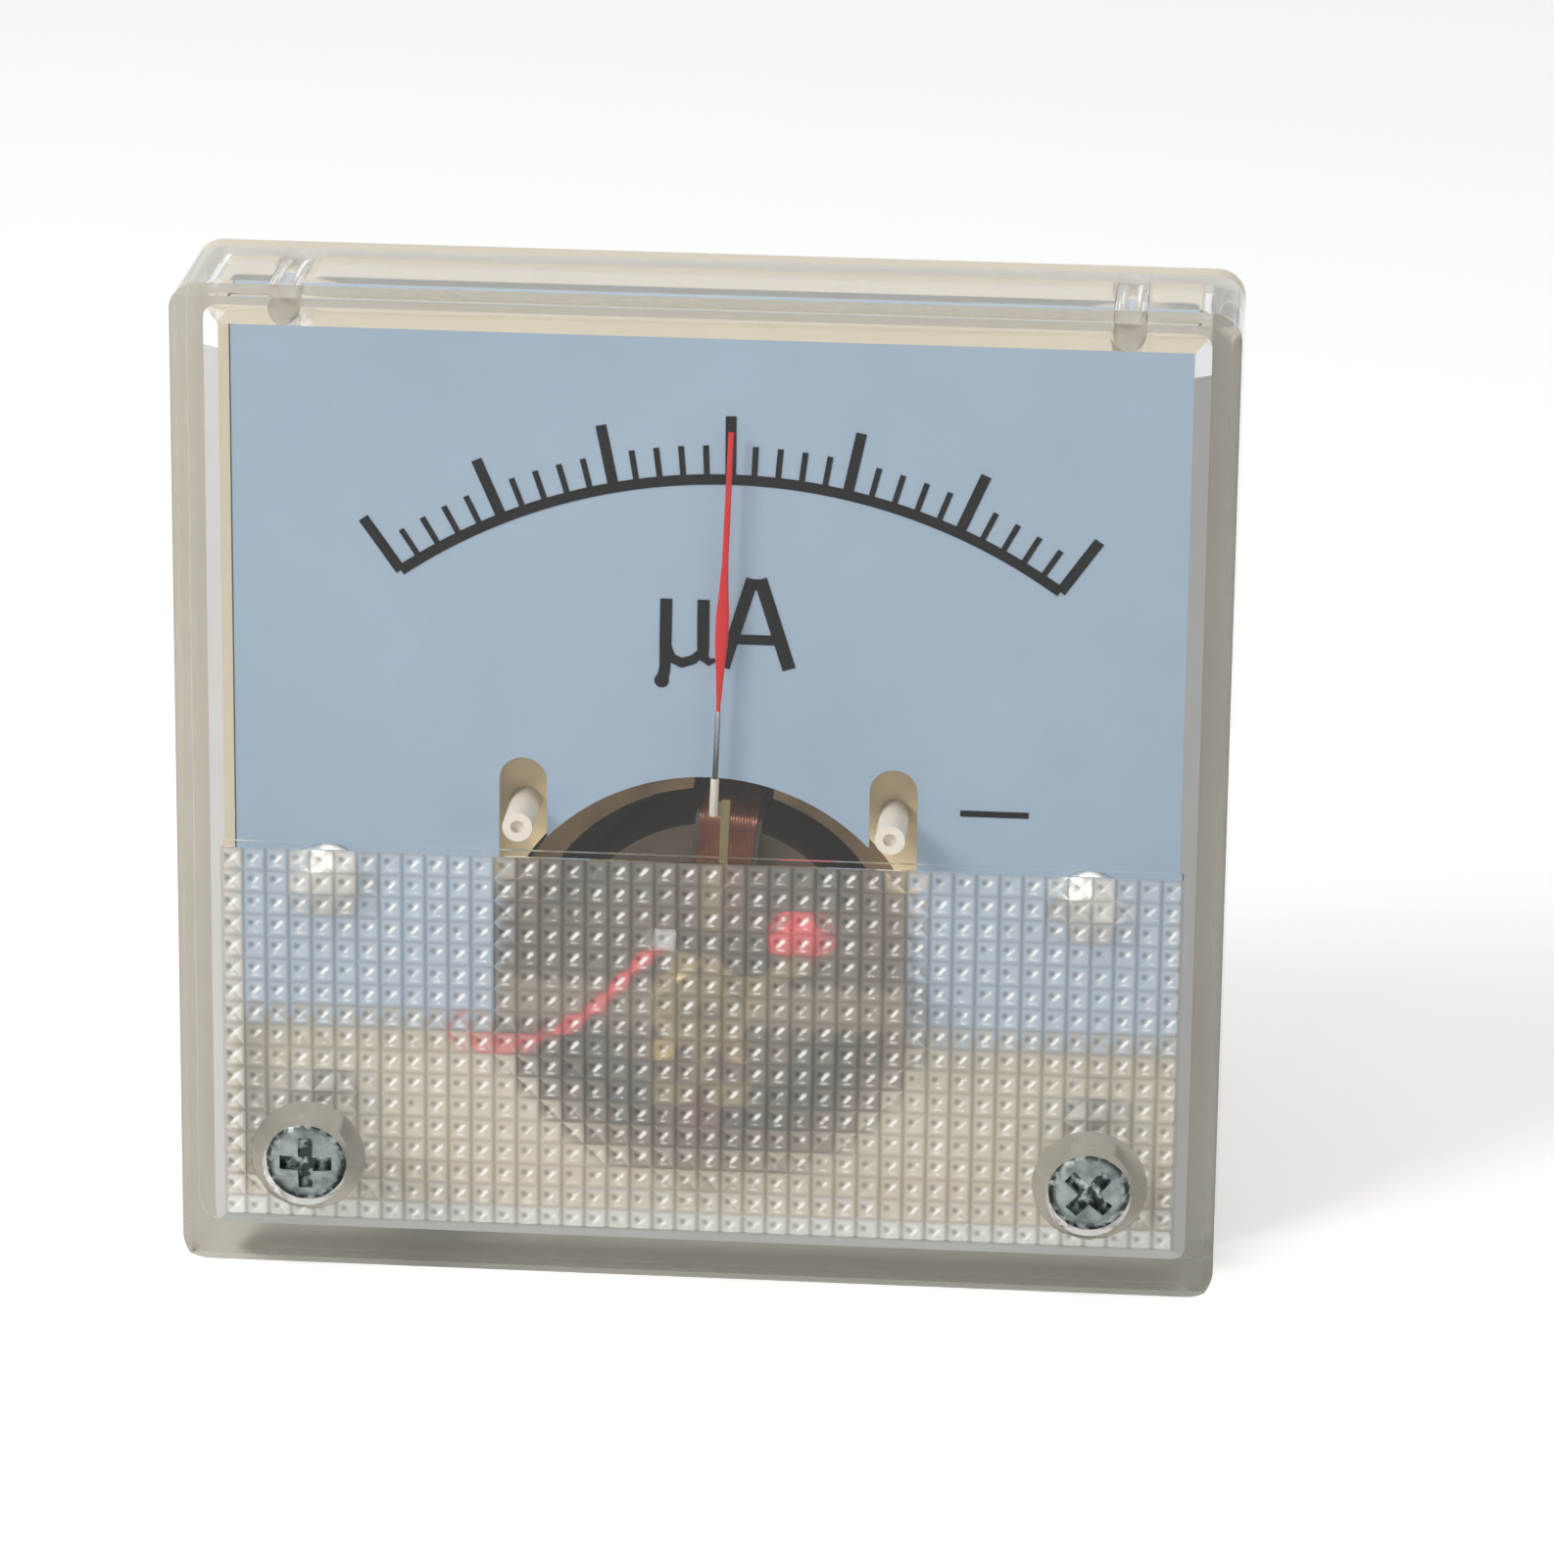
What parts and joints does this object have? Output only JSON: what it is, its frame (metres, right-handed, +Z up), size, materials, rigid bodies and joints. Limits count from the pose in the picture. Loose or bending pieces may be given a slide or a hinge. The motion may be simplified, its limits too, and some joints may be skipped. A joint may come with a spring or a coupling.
{
  "type": "analog panel meter",
  "caption": "Square moving-coil panel meter with a clear prism-patterned cover, centre-zero dial, red pointer, core-magnet movement, and rear terminal and mounting studs.",
  "frame": {"origin": "on the panel plane (rear face of the base flange), midway between the two mounting studs", "axes": "+X to the meter's right seen from the front, +Y back through the panel, +Z up; the dial faces -Y"},
  "size_m": [0.045, 0.0322, 0.044],
  "materials": {
    "clear_plastic": "clear moulded polystyrene",
    "ivory_plastic": "ivory moulded plastic",
    "dial_enamel": "satin pale blue-grey coating on aluminium",
    "zinc_steel": "zinc plated steel",
    "bright_steel": "nickel plated",
    "white_plastic": "white sleeve",
    "magnet_alloy": "dark ground magnet alloy",
    "soft_iron": "blackened soft iron",
    "brass": "plain brass",
    "coil_copper": "red enamelled copper wire",
    "former_aluminium": "thin aluminium",
    "pointer_red": "red lacquered aluminium",
    "spring_bronze": "phosphor bronze strip",
    "lead_red": "red insulation"
  },
  "bodies": {
    "root": {"front_cover": "clear_plastic", "cover_screws": "zinc_steel", "base_housing": "ivory_plastic", "dial_plate": "dial_enamel", "dial_screws": "bright_steel", "stop_pins": "bright_steel", "stop_sleeves": "white_plastic", "core_magnet": "magnet_alloy", "core_spacers": "brass", "yoke_ring": "soft_iron", "front_bridge": "brass", "rear_bridge": "brass", "bridge_screws": "bright_steel", "movement_screws": "bright_steel", "front_jewel_screw": "brass", "rear_jewel_screw": "brass", "jewel_lock_nuts": "brass", "rear_hairspring": "spring_bronze", "rear_spring_arm": "brass", "terminal_studs": "brass", "terminal_washers": "bright_steel", "terminal_nuts": "brass", "solder_lugs": "bright_steel", "mounting_studs": "zinc_steel", "mounting_washers": "zinc_steel", "mounting_nuts": "zinc_steel", "front_lead": "lead_red", "rear_lead": "lead_red"},
    "moving_coil": {"coil_former": "former_aluminium", "coil_winding": "coil_copper", "front_pivot": "brass", "rear_pivot": "brass", "pointer": "pointer_red", "pointer_carrier": "brass", "balance_weights": "brass"},
    "adjuster": {"zero_adjuster": "brass", "front_hairspring": "spring_bronze"}
  },
  "joints": [
    {"name": "moving_coil_swing", "type": "hinge", "parent": "root", "child": "moving_coil", "pos_m": [0, 0, -0.0272], "axis": [0, 1, 0], "range_deg": [-43.6, 39.4], "stiffness_Nm_per_rad": 0.00002},
    {"name": "zero_adjust", "type": "hinge", "parent": "root", "child": "adjuster", "pos_m": [0, -0.005, -0.0272], "axis": [0, 1, 0], "range_deg": [-6, 6]}
  ]
}
